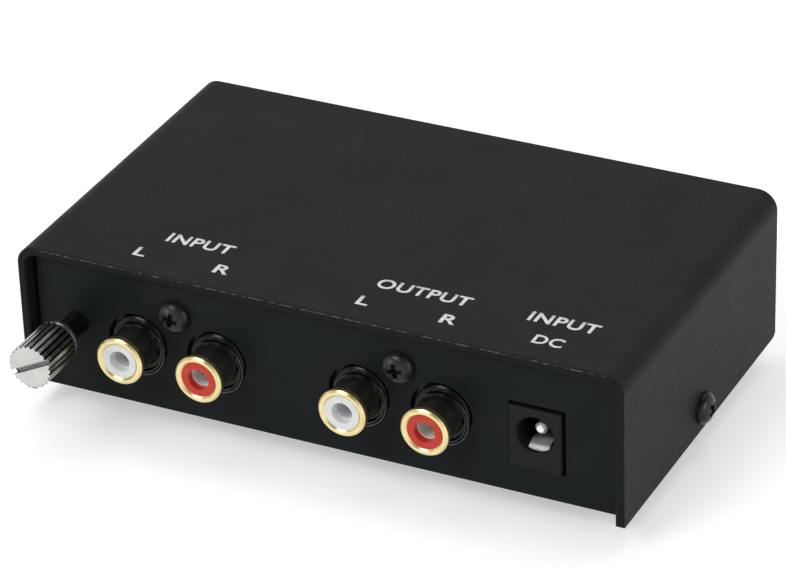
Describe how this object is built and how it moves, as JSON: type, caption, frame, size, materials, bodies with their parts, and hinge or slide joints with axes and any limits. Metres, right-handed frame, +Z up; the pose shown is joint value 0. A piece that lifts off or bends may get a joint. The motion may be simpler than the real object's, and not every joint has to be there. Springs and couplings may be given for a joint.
{
  "type": "phono preamplifier",
  "caption": "Small steel box preamplifier with phono socket pairs, a supply jack and a knurled ground thumbscrew on its connector side.",
  "frame": {"origin": "on the surface that the feet stand on, under the middle of the overall box with the thumbscrew as pictured", "axes": "-Y out of the connector panel, +X to the right seen from the connectors, +Z up"},
  "size_m": [0.1108, 0.0776, 0.031],
  "materials": {
    "cover_paint": "fine textured satin powder coat",
    "chassis_paint": "smooth satin powder coat",
    "black_screw": "blackened steel, polished",
    "rubber": "matt",
    "black_plastic": "moulded",
    "nickel": "nickel plated",
    "tinned": "tinned brass",
    "gold": "gold plated",
    "white_plastic": "moulded",
    "red_plastic": "moulded",
    "wire_sleeve": "soft PVC",
    "board": "solder mask",
    "capacitor_sleeve": "shrink sleeve",
    "film_case": "dipped case",
    "chip": "moulded",
    "resistor_coat": "lacquer"
  },
  "bodies": {
    "box": {"top_cover": "cover_paint", "chassis": "chassis_paint", "connector_panel": "chassis_paint", "cover_screws": "black_screw", "socket_screws": "black_screw", "rubber_feet": "rubber", "input_socket_block": "black_plastic", "output_socket_block": "black_plastic", "input_left_shell": "gold", "input_left_insulator": "white_plastic", "input_left_contact": "gold", "input_right_shell": "gold", "input_right_insulator": "red_plastic", "input_right_contact": "gold", "output_left_shell": "gold", "output_left_insulator": "white_plastic", "output_left_contact": "gold", "output_right_shell": "gold", "output_right_insulator": "red_plastic", "output_right_contact": "gold", "dc_jack_housing": "black_plastic", "dc_jack_pin": "nickel", "circuit_board": "board", "board_spacers": "nickel", "board_screws": "nickel", "filter_capacitors": "capacitor_sleeve", "supply_capacitors": "capacitor_sleeve", "coupling_capacitors": "capacitor_sleeve", "equaliser_capacitors": "film_case", "op_amps": "chip", "resistors": "resistor_coat", "rectifier_diodes": "chip", "voltage_regulators": "chip", "ground_lug": "tinned", "ground_wire": "wire_sleeve", "ground_nut": "nickel"},
    "washer": {"ground_washer": "nickel"},
    "thumbscrew": {"ground_thumbscrew": "nickel"},
    "jack_leaf": {"dc_jack_leaf": "nickel"}
  },
  "joints": [
    {"name": "thumbscrew_travel", "type": "slide", "parent": "box", "child": "washer", "axis": [0, 1, 0], "range_m": [-0.003, 0.006]},
    {"name": "thumbscrew_turn", "type": "hinge", "parent": "washer", "child": "thumbscrew", "pos_m": [-0.0442, -0.02995, 0.0174], "axis": [0, 1, 0], "range_deg": [-1543, 3086]},
    {"name": "jack_leaf_flex", "type": "hinge", "parent": "box", "child": "jack_leaf", "pos_m": [0.0377, -0.0138, 0.01215], "axis": [1, 0, 0], "range_deg": [0, 4], "stiffness_Nm_per_rad": 0.25}
  ],
  "couplings": [
    {"joint": "thumbscrew_turn", "follows": "thumbscrew_travel", "rad_per_m": 8976}
  ]
}
